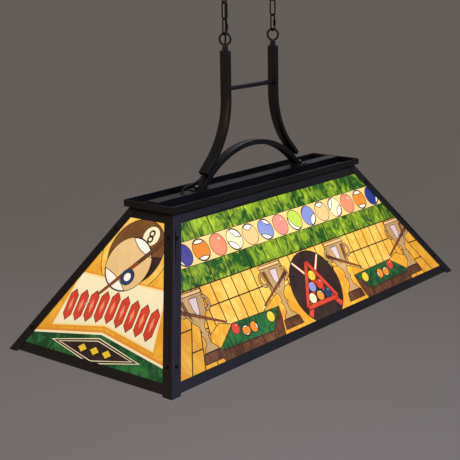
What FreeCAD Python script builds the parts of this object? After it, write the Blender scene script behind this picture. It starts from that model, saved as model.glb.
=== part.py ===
import FreeCAD, Part
import math
import os

# A pool table lamp that hangs from a ceiling canopy on two short chains.
# Millimetres, +Z up. The origin is the middle of the crossbar's top face, which
# is the face that meets the ceiling. X runs along the lamp, the front is -Y.
# Sides of the shade are called front (-Y), back (+Y), left (-X) and right (+X).

V = FreeCAD.Vector
UP, DOWN = V(0, 0, 1), V(0, 0, -1)
ALONG_X, ALONG_Y = V(1, 0, 0), V(0, 1, 0)

# ---- Driving dimensions ------------------------------------------------------
# Ceiling end
canopy_length, canopy_width, canopy_depth = 260.0, 110.0, 24.0
canopy_wall, canopy_corner = 1.2, 14.0
crossbar_length, crossbar_width, crossbar_wall = 136.0, 25.0, 3.0
box_screw_spacing, box_screw_hole = 88.9, 2.2
canopy_screw_spacing, canopy_screw_radius = 116.0, 2.0
cap_nut_radius, cap_nut_height = 5.0, 9.0

# Rings and chain
hang_spacing = 178.0            # between the two chains, and the two arms
ring_radius, ring_wire = 13.0, 2.5      # to the wire's centre, and of the wire
arm_ring_turn = 20.0            # degrees, about the ring's neck
neck_height, neck_radius, neck_waist, neck_bore = 10.6, 7.2, 6.6, 2.9
stub_radius, stub_length = 3.7, 9.0
link_wire, link_half_width, link_reach = 1.6, 6.9, 38.8
link_play = 0.3
links_per_chain = 5
sleeve_radius, sleeve_length, sleeve_fit = 3.2, 13.0, 0.05
link_gap = 5.4                  # opening in the quick link, wide enough for the ring
gap_below, sleeve_below = 3.4, 1.0      # of their middles, below the link's middle

# Power cord
cord_radius = 2.25
cord_hole_play = 0.9

# Hanger
hanger_height = 304.3           # top of the arms above the rim's top edge
arm_width, arm_depth, arm_wall = 25.4, 9.5, 1.2
arm_cap_height, arm_cap_spigot = 10.0, 6.0
arm_straight, arm_bend, arm_splay, arm_tail = 106.4, 190.0, 45.0, 41.0
rod_radius, rod_drop = 5.6, 85.4
arch_radius, arch_rise, arch_depth, arch_width = 250.0, 79.4, 12.0, 20.0
spacer_length, spacer_width = 14.0, 12.0
foot_length, foot_width, foot_wall, foot_back = 42.0, 24.0, 3.0, 13.0
foot_bolt_radius, foot_bolt_offset = 3.0, 15.0

# Crown
rim_length, rim_width, rim_height, rim_wall = 716.0, 145.0, 15.1, 2.0
plate_wall = 1.5
bar_length, bar_width, bar_stand, bar_wall = 690.0, 30.0, 1.5, 1.5
bushing_x, bushing_flange, bushing_neck = 247.2, 6.0, 4.2

# Shade
shade_length, shade_width, shade_height = 1118.0, 480.0, 302.3
shade_top_length, shade_top_width = 695.0, 126.0
post_leaf, post_wall, post_drop = 22.9, 1.6, 4.7
frame_wall, frame_inset, stile_edge = 1.5, 4.0, 20.9
top_rail, bottom_rail, rail_lip, top_flange = 25.0, 20.9, 12.0, 15.0
panel_wall, panel_side, panel_lap = 3.0, 16.0, 8.0
seat_gap = 0.1                  # left between flat faces that lie together
post_screw_radius, post_screw_in = 2.0, 11.45
post_screw_drops = (46.5, 258.5)        # below the crown
crown_screw_radius, crown_screw_in = 2.0, 9.5
crown_screw_places = (-290.0, -130.0, 130.0, 290.0)     # along the front and back
crown_end_screw_y = 30.0
clip_width, clip_wall, clip_foot, clip_tongue = 16.0, 1.2, 8.5, 7.0
clip_places_long, clip_places_end_top, clip_places_end_foot = (-260.0, 0.0, 260.0), (0.0,), (-110.0, 110.0)

# Lamp holders and bulbs
holder_count, holder_pitch = 4, 165.0
holder_radius, holder_height, holder_bore = 19.0, 42.0, 13.4
cap_radius, cap_height = 13.0, 24.0
globe_radius, globe_length, globe_neck = 30.0, 84.0, 13.2

# ---- Levels and places that follow from them ---------------------------------
hang_x = hang_spacing / 2
loop_z = -(canopy_depth + neck_height + ring_wire + ring_radius)
ring_seat = ring_wire + link_wire + link_play       # ring wire to link wire
link_seat = 2 * link_wire + link_play               # link wire to link wire
top_link_z = loop_z - ring_radius + ring_seat       # top end of the first link
link_pitch = link_reach - link_seat
quick_link_foot = top_link_z - link_reach - (links_per_chain - 1) * link_pitch
arm_ring_z = quick_link_foot + ring_seat - ring_radius
arm_top = arm_ring_z - ring_radius - ring_wire - neck_height
crown_top = arm_top - hanger_height
crown_base = crown_top - rim_height
bar_top = crown_top + bar_stand
plate_top = crown_base + plate_wall
shade_top = crown_base
shade_base = shade_top - shade_height
arch_foot = bar_top + foot_wall
arch_centre = arch_foot + arch_rise - arch_radius
arch_half_span = math.sqrt(arch_radius ** 2 - (arch_foot - arch_centre) ** 2)
frame_depth = post_wall + seat_gap
panel_depth = frame_depth + frame_wall + seat_gap
clip_depth = panel_depth + panel_wall + seat_gap

# ---- Route of the power cord, from the canopy down the left chain ------------
cord_points = [
    (-74.0, 0.0, -20.0), (-74.0, -0.8, -35.0), (-77.0, -3.6, -48.5),
    (-83.2, -5.8, -61.5), (-88.0, -5.2, -78.5), (-95.2, -5.6, -96.0),
    (-89.0, -1.5, -113.6), (-83.0, -5.6, -131.2), (-88.5, -6.2, -149.0),
    (-94.6, -6.8, -166.6), (-94.8, -7.6, -184.2), (-94.0, -6.8, -202.0),
    (-91.8, -5.8, -219.5), (-93.9, -5.2, -236.2), (-89.9, -2.2, -247.8),
    (-89.0, 0.0, -259.5), (-89.0, 0.0, -277.0)]
# The stretch from the arm's lower end over to the bushing in the bar
cord_tail_points = [
    (-165.2, 0.0, -534.7), (-181.0, 0.0, -550.5), (-197.0, 0.0, -556.6),
    (-212.0, 0.0, -559.9), (-226.0, 0.0, -560.6), (-236.5, 0.0, -561.9),
    (-243.3, 0.0, -565.6), (-246.6, 0.0, -571.8), (-247.3, 0.0, -580.0),
    (-247.4, 0.0, -588.5)]


# ---- Helpers -----------------------------------------------------------------
os.makedirs("parts", exist_ok=True)


def save(name, shape):
    """Write one node, after a check that it is made of closed solids."""
    if not shape.isValid() or not shape.Solids:
        raise ValueError(name + " is not a valid solid")
    if len(shape.Solids) == 1:
        shape = shape.Solids[0]
    shape.exportStep("parts/" + name + ".step")


def join(shapes):
    return shapes[0].fuse(shapes[1:]).removeSplitter()


def group(shapes):
    """Separate, alike pieces that share one node."""
    return Part.makeCompound([piece for shape in shapes for piece in shape.Solids])


def block(x0, x1, y0, y1, z0, z1):
    return Part.makeBox(x1 - x0, y1 - y0, z1 - z0, V(x0, y0, z0))


def rod(radius, start, end):
    return Part.makeCylinder(radius, (end - start).Length, start, end - start)


def turned(profile, foot, direction=UP):
    """Solid of revolution. profile is (radius, height) pairs from foot upward."""
    points = [V(r, 0, h) for r, h in profile]
    face = Part.Face(Part.makePolygon(points + points[:1]))
    solid = face.revolve(V(0, 0, 0), UP, 360)
    solid.Placement = FreeCAD.Placement(foot, FreeCAD.Rotation(UP, direction))
    return solid


def hexagon(flats, height, foot, direction=UP):
    radius = flats / math.sqrt(3)
    corners = [V(radius * math.cos(math.radians(60 * i)),
                 radius * math.sin(math.radians(60 * i)), 0) for i in range(6)]
    prism = Part.Face(Part.makePolygon(corners + corners[:1])).extrude(V(0, 0, height))
    prism.Placement = FreeCAD.Placement(foot, FreeCAD.Rotation(UP, direction))
    return prism


def slab(outline, y0, y1):
    """Prism of an outline of (x, z) points, from y0 to y1."""
    points = [V(x, y0, z) for x, z in outline]
    return Part.Face(Part.makePolygon(points + points[:1])).extrude(V(0, y1 - y0, 0))


def mirror_x(shape):
    return shape.mirror(V(0, 0, 0), ALONG_X)


# ---- Rings, links and chain --------------------------------------------------
def hang_ring(x, centre_z, neck_up, turn=0.0):
    """Closed loop on a bored neck, with a hollow stub that screws into its seat."""
    way = UP if neck_up else DOWN
    centre = V(x, 0, centre_z)
    edge = ring_radius + ring_wire
    seat = edge + neck_height
    wire = Part.makeTorus(ring_radius, ring_wire, centre, ALONG_X)
    wire.rotate(centre, UP, turn)
    neck = turned([(0, ring_radius - 0.5), (neck_waist - 1, ring_radius - 0.5),
                   (neck_waist, edge + 1.5), (neck_waist, seat - 5),
                   (neck_radius, seat - 3), (neck_radius, seat), (0, seat)], centre, way)
    stub = rod(stub_radius, centre + way * (seat - 1), centre + way * (seat + stub_length))
    bore = rod(neck_bore, centre + way * (ring_radius - ring_wire - 1),
               centre + way * (seat + stub_length + 1))
    return join([wire, neck, stub]).cut(bore)


def chain_link(x, top_z, across, gap=0.0):
    """Link whose wire lies in the plane of across and Z; gap opens its +X side."""
    straight = link_reach - 2 * link_half_width
    upper = V(x, 0, top_z - link_half_width)
    lower = upper + DOWN * straight
    normal = across.cross(UP)
    bends = []
    for centre, start in ((upper, across), (lower, across * -1)):
        circle = Part.Face(Part.Wire(Part.makeCircle(
            link_wire, centre + start * link_half_width, UP)))
        bends.append(circle.revolve(centre, normal, 180))
    sides = [rod(link_wire, lower + across * (way * link_half_width),
                 upper + across * (way * link_half_width)) for way in (1, -1)]
    link = join(bends + sides)
    if gap:
        middle = (upper.z + lower.z) / 2 - gap_below
        link = link.cut(block(x, x + 2 * link_half_width, -5, 5,
                              middle - gap / 2, middle + gap / 2))
    return link


def link_top(number):
    """Top end of a link's wire centre line; link 0 hangs from the canopy."""
    return top_link_z - number * link_pitch


def link_across(number):
    return ALONG_X if number % 2 == 0 else ALONG_Y


def sleeve(x):
    """Screwed sleeve that closes the quick link's gap, and clears it when 7 mm higher."""
    middle = link_top(links_per_chain - 1) - link_reach / 2 - sleeve_below
    centre = V(x + link_half_width, 0, middle - sleeve_length / 2)
    barrel = turned([(0, 0), (sleeve_radius - 0.5, 0), (sleeve_radius, 0.8),
                     (sleeve_radius, sleeve_length - 0.8),
                     (sleeve_radius - 0.5, sleeve_length), (0, sleeve_length)], centre)
    return barrel.cut(rod(link_wire + sleeve_fit, centre + DOWN, centre + UP * (sleeve_length + 1)))


def make_chains():
    for side, x in (("left", -hang_x), ("right", hang_x)):
        save("canopy_loop_" + side, hang_ring(x, loop_z, True))
        save("top_link_" + side, chain_link(x, link_top(0), link_across(0)))
        middle = [chain_link(x, link_top(i), link_across(i)) for i in range(1, links_per_chain - 1)]
        save("chain_links_" + side, group(middle))
        last = links_per_chain - 1
        save("quick_link_" + side, chain_link(x, link_top(last), ALONG_X, link_gap))
        save("link_sleeve_" + side, sleeve(x))
        save("arm_ring_" + side, hang_ring(x, arm_ring_z, False, arm_ring_turn))


# ---- Canopy and what is inside it --------------------------------------------
def rounded_block(length, width, radius, z0, z1):
    solid = block(-length / 2, length / 2, -width / 2, width / 2, z0, z1)
    return solid.makeFillet(radius, [e for e in solid.Edges
                                     if abs(e.tangentAt(e.FirstParameter).z) > 0.99])


def make_canopy():
    pan = rounded_block(canopy_length, canopy_width, canopy_corner, -canopy_depth, 0)
    inside = rounded_block(canopy_length - 2 * canopy_wall, canopy_width - 2 * canopy_wall,
                           canopy_corner - canopy_wall, -canopy_depth + canopy_wall, 1)
    holes = [rod(stub_radius + 0.2, V(x, 0, -canopy_depth - 1), V(x, 0, 0))
             for x in (-hang_x, hang_x)]
    holes.append(rod(bushing_neck, V(cord_points[0][0], 0, -canopy_depth - 1),
                     V(cord_points[0][0], 0, -canopy_depth + 5)))
    holes += [rod(canopy_screw_radius + 0.2, V(x, 0, -canopy_depth - 1), V(x, 0, 0))
              for x in canopy_screw_x()]
    save("canopy", pan.cut(inside).cut(group(holes)))

    bar = block(-crossbar_length / 2, crossbar_length / 2, -crossbar_width / 2,
                crossbar_width / 2, -crossbar_wall, 0)
    bar_holes = [rod(box_screw_hole, V(way * box_screw_spacing / 2, 0, -crossbar_wall - 1),
                     V(way * box_screw_spacing / 2, 0, 1)) for way in (-1, 1)]
    bar_holes += [rod(canopy_screw_radius + 0.05, V(x, 0, -crossbar_wall - 1), V(x, 0, 1))
                  for x in canopy_screw_x()]
    save("ceiling_crossbar", bar.cut(group(bar_holes)))

    screw_end = -canopy_depth - cap_nut_height + 3
    save("canopy_screws", group([rod(canopy_screw_radius, V(x, 0, screw_end), V(x, 0, -0.2))
                                 for x in canopy_screw_x()]))
    save("canopy_cap_nuts", group([cap_nut(V(x, 0, -canopy_depth - seat_gap), screw_end)
                                   for x in canopy_screw_x()]))
    nut_z = -canopy_depth + canopy_wall + seat_gap
    save("canopy_loop_nuts", group([
        hexagon(12.0, 5.0, V(x, 0, nut_z)).cut(rod(stub_radius + 0.05, V(x, 0, -canopy_depth),
                                                   V(x, 0, 0))) for x in (-hang_x, hang_x)]))
    save("canopy_bushing", bushing(V(cord_points[0][0], 0, -canopy_depth), DOWN, canopy_wall))
    save("wire_connectors", group([
        turned([(0, 0), (6.0, 0), (4.0, 17.0), (2.6, 19.0), (0, 19.0)],
               V(x, 32.0, -canopy_depth / 2), ALONG_X) for x in (-60.0, -30.0, 5.0)]))


def canopy_screw_x():
    return (-canopy_screw_spacing / 2, canopy_screw_spacing / 2)


def cap_nut(seat, screw_end):
    dome = turned([(0, 0), (cap_nut_radius, 0), (cap_nut_radius, 3.0), (cap_nut_radius - 0.7, 6.0),
                   (cap_nut_radius - 2.4, 8.2), (0, cap_nut_height)], seat, DOWN)
    return dome.cut(rod(canopy_screw_radius + 0.05, V(seat.x, seat.y, screw_end - 0.3),
                        seat + UP))


def bushing(seat, outward, wall):
    """Grommet through a sheet; its flange is on the outward side of the seat."""
    play = seat_gap
    reach = wall + 1.5
    body = turned([(0, -reach), (bushing_neck - 0.1, -reach), (bushing_neck - 0.1, play),
                   (bushing_flange, play), (bushing_flange - 0.6, 2.2),
                   (bushing_flange - 1.8, 3.4), (0, 3.4)], seat, outward)
    bore = cord_radius + cord_hole_play
    return body.cut(rod(bore, seat + outward * -8, seat + outward * 8))


# ---- Power cord --------------------------------------------------------------
def cord_path(points, cut_start=False, cut_end=False):
    """Straight runs joined by tangent arcs, as large as their two runs allow.

    A cut end lies half way along its run, so that run counts at twice its length.
    """
    lengths = [(after - before).Length for before, after in zip(points, points[1:])]
    lengths[0] *= 2 if cut_start else 1
    lengths[-1] *= 2 if cut_end else 1
    edges, start = [], points[0]
    for i in range(1, len(points) - 1):
        corner = points[i]
        into, out = (corner - points[i - 1]).normalize(), (points[i + 1] - corner).normalize()
        turn = into.getAngle(out)
        reach = 0.45 * min(lengths[i - 1], lengths[i])
        print("cord arc radius %.1f" % (reach / math.tan(turn / 2)))
        first, last = corner - into * reach, corner + out * reach
        chord_middle = (first + last) * 0.5
        middle = chord_middle + (corner - chord_middle).normalize() * arc_rise(reach, turn)
        edges.append(Part.LineSegment(start, first).toShape())
        edges.append(Part.Arc(first, middle, last).toShape())
        start = last
    edges.append(Part.LineSegment(start, points[-1]).toShape())
    return Part.Wire(edges)


def arc_rise(reach, turn):
    """Height of a tangent arc above its chord."""
    return reach / math.tan(turn / 2) * (1 - math.cos(turn / 2))


def cord_tube(wire):
    start = wire.Edges[0]
    circle = Part.Wire(Part.makeCircle(cord_radius, start.valueAt(start.FirstParameter),
                                       start.tangentAt(start.FirstParameter)))
    return wire.makePipeShell([circle], True, False)


def middle_of(a, b):
    return (a + b) * 0.5


def cord_stretch(first, last):
    """Route points first to last, with half a run more at each inner end."""
    route = [V(*p) for p in cord_points]
    points = route[first:last + 1]
    if first > 0:
        points.insert(0, middle_of(route[first - 1], route[first]))
    if last < len(route) - 1:
        points.append(middle_of(route[last], route[last + 1]))
    return cord_tube(cord_path(points, first > 0, last < len(route) - 1))


def make_cord():
    # one stretch on each body that the cord passes, cut half way between two points
    save("cord_at_canopy", cord_stretch(0, 2))
    save("cord_at_top_link", cord_stretch(3, 4))
    save("cord_along_chain", cord_stretch(5, 10))
    save("cord_at_quick_link", cord_stretch(11, 12))
    save("cord_at_ring", cord_stretch(13, 16))
    tail = [V(*p) for p in cord_tail_points]
    save("cord_to_bar", cord_tube(cord_path(tail)))

    top, bend_top = V(*cord_points[-1]), arm_top - arm_straight
    bend_start, bend_end = arm_line_point(0), arm_line_point(arm_splay)
    middle = arm_line_point(arm_splay / 2)
    edges = [Part.LineSegment(top, V(-bend_start.x, 0, bend_top)),
             Part.Arc(V(-bend_start.x, 0, bend_top), V(-middle.x, 0, middle.z),
                      V(-bend_end.x, 0, bend_end.z)),
             Part.LineSegment(V(-bend_end.x, 0, bend_end.z), tail[0])]
    save("cord_in_arm", cord_tube(Part.Wire([edge.toShape() for edge in edges])))


# ---- Hanger ------------------------------------------------------------------
def arm_line_point(angle, offset=0.0):
    """Point of the right arm's bend; offset is outward from its centre line."""
    turn = math.radians(angle)
    radius = arm_bend - offset
    return V(hang_x + arm_bend - radius * math.cos(turn), 0,
             arm_top - arm_straight - radius * math.sin(turn))


def arm_body(half_depth, half_width, top, tail):
    """Right arm as a solid bar: straight, bent outward, then straight again."""
    splay = math.radians(arm_splay)
    onward = V(math.sin(splay), 0, -math.cos(splay)) * tail
    bend_z = arm_top - arm_straight
    sides = {}
    for way in (-1, 1):
        offset = way * half_depth
        sides[way] = (V(hang_x + offset, 0, top), V(hang_x + offset, 0, bend_z),
                      arm_line_point(arm_splay / 2, offset), arm_line_point(arm_splay, offset),
                      arm_line_point(arm_splay, offset) + onward)
    inner, outer = sides[-1], sides[1]
    edges = [Part.LineSegment(inner[0], inner[1]), Part.Arc(inner[1], inner[2], inner[3]),
             Part.LineSegment(inner[3], inner[4]), Part.LineSegment(inner[4], outer[4]),
             Part.LineSegment(outer[4], outer[3]), Part.Arc(outer[3], outer[2], outer[1]),
             Part.LineSegment(outer[1], outer[0]), Part.LineSegment(outer[0], inner[0])]
    face = Part.Face(Part.Wire([edge.toShape() for edge in edges]))
    face.translate(V(0, -half_width, 0))
    return face.extrude(V(0, 2 * half_width, 0))


def make_arms():
    tube_top = arm_top - arm_cap_height
    outer = arm_body(arm_depth / 2, arm_width / 2, tube_top, arm_tail)
    inner = arm_body(arm_depth / 2 - arm_wall, arm_width / 2 - arm_wall, tube_top + 1, arm_tail + 1)
    arm = outer.cut(inner)
    save("arm_right", arm)
    save("arm_left", mirror_x(arm))

    fit = arm_wall + seat_gap
    head = block(hang_x - arm_depth / 2, hang_x + arm_depth / 2, -arm_width / 2, arm_width / 2,
                 tube_top, arm_top)
    spigot = block(hang_x - arm_depth / 2 + fit, hang_x + arm_depth / 2 - fit,
                   -arm_width / 2 + fit, arm_width / 2 - fit, tube_top - arm_cap_spigot, tube_top)
    seat = rod(stub_radius + 0.05, V(hang_x, 0, arm_top + 1), V(hang_x, 0, arm_top - stub_length - 0.2))
    bore = rod(neck_bore, V(hang_x, 0, arm_top), V(hang_x, 0, tube_top - arm_cap_spigot - 1))
    cap = join([head, spigot]).cut(seat).cut(bore)
    save("arm_cap_right", cap)
    save("arm_cap_left", mirror_x(cap))

    reach = hang_x - arm_depth / 2
    save("cross_rod", rod(rod_radius, V(-reach, 0, arm_top - rod_drop), V(reach, 0, arm_top - rod_drop)))


def arch_disc(radius, half_width):
    return rod(radius, V(0, -half_width, arch_centre), V(0, half_width, arch_centre))


def foot_bolt_x():
    return arch_half_span + foot_bolt_offset


def make_arch():
    half = arch_width / 2
    ring = arch_disc(arch_radius + arch_depth / 2, half).cut(
        arch_disc(arch_radius - arch_depth / 2, half + 1))
    above = block(-arch_radius, arch_radius, -half - 1, half + 1, arch_foot,
                  arch_centre + arch_radius + arch_depth)
    save("arch_bar", ring.common(above))

    # blocks between the arms' straight tails and the arch, where they are welded
    splay = math.radians(arm_splay)
    onward = V(math.sin(splay), 0, -math.cos(splay))
    inward = V(-math.cos(splay), 0, -math.sin(splay))
    tail_end = arm_line_point(arm_splay, -arm_depth / 2) + onward * arm_tail
    near = tail_end - onward * 4
    far = near - onward * spacer_length
    reach = inward * (hang_x / 2)       # well into the arch's disc, which is then cut away
    corners = [near, far, far + reach, near + reach]
    spacer = slab([(p.x, p.z) for p in corners], -spacer_width / 2, spacer_width / 2)
    spacer = spacer.cut(arch_disc(arch_radius + arch_depth / 2, half + 1))
    save("arch_spacers", group([spacer, mirror_x(spacer)]))

    start = arch_half_span - foot_back
    foot = block(start, start + foot_length, -foot_width / 2, foot_width / 2, bar_top, arch_foot)
    hole = rod(foot_bolt_radius + 0.2, V(foot_bolt_x(), 0, bar_top - 1), V(foot_bolt_x(), 0, arch_foot + 1))
    foot = foot.cut(hole)
    save("arch_feet", group([foot, mirror_x(foot)]))

    base = V(foot_bolt_x(), 0, crown_base)
    shank = rod(foot_bolt_radius, base + DOWN, V(foot_bolt_x(), 0, arch_foot + 7.5))
    bolt = join([shank, hexagon(10.0, 4.0, base, DOWN)])
    save("foot_bolts", group([bolt, mirror_x(bolt)]))
    nut = hexagon(10.0, 5.0, V(foot_bolt_x(), 0, arch_foot)).cut(
        rod(foot_bolt_radius + 0.05, V(foot_bolt_x(), 0, arch_foot - 1), V(foot_bolt_x(), 0, 0)))
    save("foot_nuts", group([nut, mirror_x(nut)]))


# ---- Crown -------------------------------------------------------------------
def crown_screw_spots():
    y = shade_top_width / 2 - crown_screw_in
    x = shade_top_length / 2 - crown_screw_in
    return ([(along, way * y) for along in crown_screw_places for way in (-1, 1)]
            + [(way * x, side * crown_end_screw_y) for way in (-1, 1) for side in (-1, 1)])


def holder_x():
    return [(i - (holder_count - 1) / 2) * holder_pitch for i in range(holder_count)]


def make_crown():
    half_x, half_y = rim_length / 2, rim_width / 2
    rim = block(-half_x, half_x, -half_y, half_y, crown_base, crown_top).cut(
        block(-half_x + rim_wall, half_x - rim_wall, -half_y + rim_wall, half_y - rim_wall,
              crown_base - 1, crown_top + 1))
    save("crown_rim", rim)

    plate_x, plate_y = half_x - rim_wall - seat_gap, half_y - rim_wall - seat_gap
    plate = block(-plate_x, plate_x, -plate_y, plate_y, crown_base, plate_top)
    holes = [rod(crown_screw_radius + 0.2, V(x, y, crown_base - 1), V(x, y, plate_top + 1))
             for x, y in crown_screw_spots()]
    holes += [rod(foot_bolt_radius + 0.2, V(way * foot_bolt_x(), 0, crown_base - 1),
                  V(way * foot_bolt_x(), 0, plate_top + 1)) for way in (-1, 1)]
    holes += [rod(5.2, V(x, 0, crown_base - 1), V(x, 0, plate_top + 1)) for x in holder_x()]
    save("crown_plate", plate.cut(group(holes)))

    outer = block(-bar_length / 2, bar_length / 2, -bar_width / 2, bar_width / 2, plate_top, bar_top)
    inner = block(-bar_length / 2 + bar_wall, bar_length / 2 - bar_wall, -bar_width / 2 + bar_wall,
                  bar_width / 2 - bar_wall, plate_top - 1, bar_top - bar_wall)
    bar_holes = [rod(foot_bolt_radius + 0.2, V(way * foot_bolt_x(), 0, bar_top - 5),
                     V(way * foot_bolt_x(), 0, bar_top + 1)) for way in (-1, 1)]
    bar_holes.append(rod(bushing_neck, V(-bushing_x, 0, bar_top - 5), V(-bushing_x, 0, bar_top + 1)))
    save("lamp_bar", outer.cut(inner).cut(group(bar_holes)))
    save("bar_bushing", bushing(V(-bushing_x, 0, bar_top), UP, bar_wall))

    wire_z, wire_radius = plate_top + 3.0, 1.2
    save("bar_wires", group([rod(wire_radius, V(-bushing_x + 12, y, wire_z),
                                 V(holder_x()[-1] + 12, y, wire_z)) for y in (8.6, 11.6)]))

    screws = []
    for x, y in crown_screw_spots():
        seat = V(x, y, plate_top)
        screws.append(pan_screw(seat, UP, crown_screw_radius, plate_wall + frame_wall + 4.5))
    save("crown_screws", group(screws))


def pan_screw(seat, outward, radius, length):
    head = turned([(0, 0), (1.9 * radius, 0), (1.9 * radius, 0.9), (1.5 * radius, 1.8),
                   (0.9 * radius, 2.2), (0, 2.2)], seat, outward)
    return join([head, rod(radius, seat + outward * 0.5, seat - outward * length)])


# ---- Shade -------------------------------------------------------------------
def shade_side(name):
    """Flat side of the shade: its middle top point, directions and sizes."""
    level = {"front": V(0, -1, 0), "back": V(0, 1, 0), "left": V(-1, 0, 0), "right": V(1, 0, 0)}[name]
    tops, feet = (shade_top_length, shade_top_width), (shade_length, shade_width)
    across, along = (1, 0) if name in ("front", "back") else (0, 1)
    run = (feet[across] - tops[across]) / 2
    slant = math.hypot(run, shade_height)
    spread = (feet[along] - tops[along]) / 2
    return {"top": level * (tops[across] / 2) + V(0, 0, shade_top), "along": UP.cross(level),
            "down": (level * run + DOWN * shade_height) * (1 / slant),
            "out": (level * shade_height + UP * run) * (1 / slant),
            "level": level, "half": tops[along] / 2, "spread": spread, "slant": slant,
            "stretch": math.hypot(slant, spread) / slant, "drop": slant / shade_height}


def half_at(side, down):
    return side["half"] + side["spread"] * down / side["slant"]


def on_side(side, along, down, depth):
    return (side["top"] + side["along"] * along + side["down"] * down - side["out"] * depth)


def sheet(side, outline, depth, wall):
    points = [on_side(side, along, down, depth) for along, down in outline]
    return Part.Face(Part.makePolygon(points + points[:1])).extrude(side["out"] * -wall)


def trapezoid(side, inset, first, last):
    inset *= side["stretch"]
    return [(-half_at(side, first) + inset, first), (half_at(side, first) - inset, first),
            (half_at(side, last) - inset, last), (-half_at(side, last) + inset, last)]


def pyramid(inset, above=0.0, below=0.0):
    """Solid of the shade's outer form, moved inward by inset from each side."""
    rings = []
    for z in (shade_top + above, shade_base - below):
        share = (shade_top - z) / shade_height
        halves = []
        for top, foot in ((shade_top_length, shade_length), (shade_top_width, shade_width)):
            run = (foot - top) / 2
            halves.append(top / 2 + run * share - inset * math.hypot(run, shade_height) / shade_height)
        x, y = halves
        rings.append([V(-x, -y, z), V(x, -y, z), V(x, y, z), V(-x, y, z)])
    upper, lower = rings
    loops = [upper, lower] + [[upper[i], upper[(i + 1) % 4], lower[(i + 1) % 4], lower[i]]
                              for i in range(4)]
    faces = [Part.Face(Part.makePolygon(loop + loop[:1])) for loop in loops]
    solid = Part.Solid(Part.Shell(faces))
    solid.fixTolerance(1e-6)
    return solid if solid.Volume > 0 else Part.Solid(solid.Shells[0].reversed())


def post_screw_spots(side):
    spots = []
    for drop in post_screw_drops:
        down = drop * side["drop"]
        reach = half_at(side, down) - post_screw_in * side["stretch"]
        spots += [(-reach, down), (reach, down)]
    return spots


def screw_holes(side, radius):
    return [rod(radius, on_side(side, along, down, -5), on_side(side, along, down, 15))
            for along, down in post_screw_spots(side)]


def make_posts(sides):
    walls = pyramid(0, -seat_gap, post_drop).cut(pyramid(post_wall, 5, post_drop + 5))
    holes = group([hole for side in sides.values()
                   for hole in screw_holes(side, post_screw_radius + 0.2)])
    for long_name in ("front", "back"):
        for end_name in ("left", "right"):
            corner = sides[long_name]["level"] + sides[end_name]["level"]
            leaves = []
            for side in (sides[long_name], sides[end_name]):
                way = 1 if side["along"].dot(corner) > 0 else -1
                first, last = -2.0, side["slant"] + 20.0
                leaf = post_leaf * side["stretch"]
                outline = [(way * (half_at(side, first) - leaf), first),
                           (way * (half_at(side, first) + 20), first),
                           (way * (half_at(side, last) + 20), last),
                           (way * (half_at(side, last) - leaf), last)]
                leaves.append(sheet(side, outline, -5, 17))
            post = walls.common(leaves[0].fuse(leaves[1])).cut(holes).removeSplitter()
            save("corner_post_" + long_name + "_" + end_name, post)


def make_side(name, side):
    slant = side["slant"]
    ring = sheet(side, trapezoid(side, frame_inset, 0, slant), frame_depth, frame_wall).cut(
        sheet(side, trapezoid(side, stile_edge, top_rail, slant - bottom_rail),
              frame_depth - 1, frame_wall + 2))
    lip = sheet(side, trapezoid(side, 13.0, slant - frame_wall, slant), frame_depth,
                rail_lip - frame_depth)
    centre = side["top"] - side["level"] * (top_flange / 2)
    reach = side["half"] - 20
    flange = block(-reach, reach, -top_flange / 2 - 5, top_flange / 2,
                   shade_top - seat_gap - frame_wall, shade_top - seat_gap)
    turn = math.degrees(math.atan2(side["level"].x, -side["level"].y))
    flange.rotate(V(0, 0, 0), UP, turn)
    flange.translate(V(centre.x, centre.y, 0))
    flange = flange.common(pyramid(frame_depth, 5, 5))
    crown_holes = [rod(crown_screw_radius + 0.2, V(x, y, shade_top - 5), V(x, y, shade_top + 1))
                   for x, y in crown_screw_spots()]
    frame = join([ring, lip, flange]).cut(group(screw_holes(side, post_screw_radius + 0.2) + crown_holes))
    save("side_frame_" + name, frame)
    save("panel_" + name, sheet(side, trapezoid(side, panel_side, top_rail - panel_lap,
                                                slant - bottom_rail + panel_lap),
                                panel_depth, panel_wall))


def clip(side, along, edge, way):
    """Bent clip that holds the panel's edge; way points from the panel to the rail."""
    left, right = along - clip_width / 2, along + clip_width / 2

    def strip(first, last, depth, wall):
        return sheet(side, [(left, first), (right, first), (right, last), (left, last)], depth, wall)

    near = edge + way * 0.5
    foot = strip(near, near + way * clip_foot, panel_depth, clip_wall)
    riser = strip(near, near + way * clip_wall, panel_depth, clip_depth + clip_wall - panel_depth)
    tongue = strip(edge - way * clip_tongue, near + way * clip_wall, clip_depth, clip_wall)
    return join([foot, riser, tongue])


def make_fasteners(sides):
    screws, nuts, clips = [], [], []
    for name, side in sides.items():
        for along, down in post_screw_spots(side):
            seat = on_side(side, along, down, 0)
            screws.append(pan_screw(seat, side["out"], post_screw_radius, panel_depth + 4.2))
            nut = hexagon(7.0, 3.2, on_side(side, along, down, panel_depth), side["out"] * -1)
            nuts.append(nut.cut(rod(post_screw_radius + 0.05, on_side(side, along, down, 0),
                                    on_side(side, along, down, 15))))
        top, foot = top_rail - panel_lap, side["slant"] - bottom_rail + panel_lap
        long_side = name in ("front", "back")
        clips += [clip(side, u, top, -1) for u in (clip_places_long if long_side else clip_places_end_top)]
        clips += [clip(side, u, foot, 1) for u in (clip_places_long if long_side else clip_places_end_foot)]
    save("post_screws", group(screws))
    save("post_nuts", group(nuts))
    save("panel_clips", group(clips))


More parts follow.
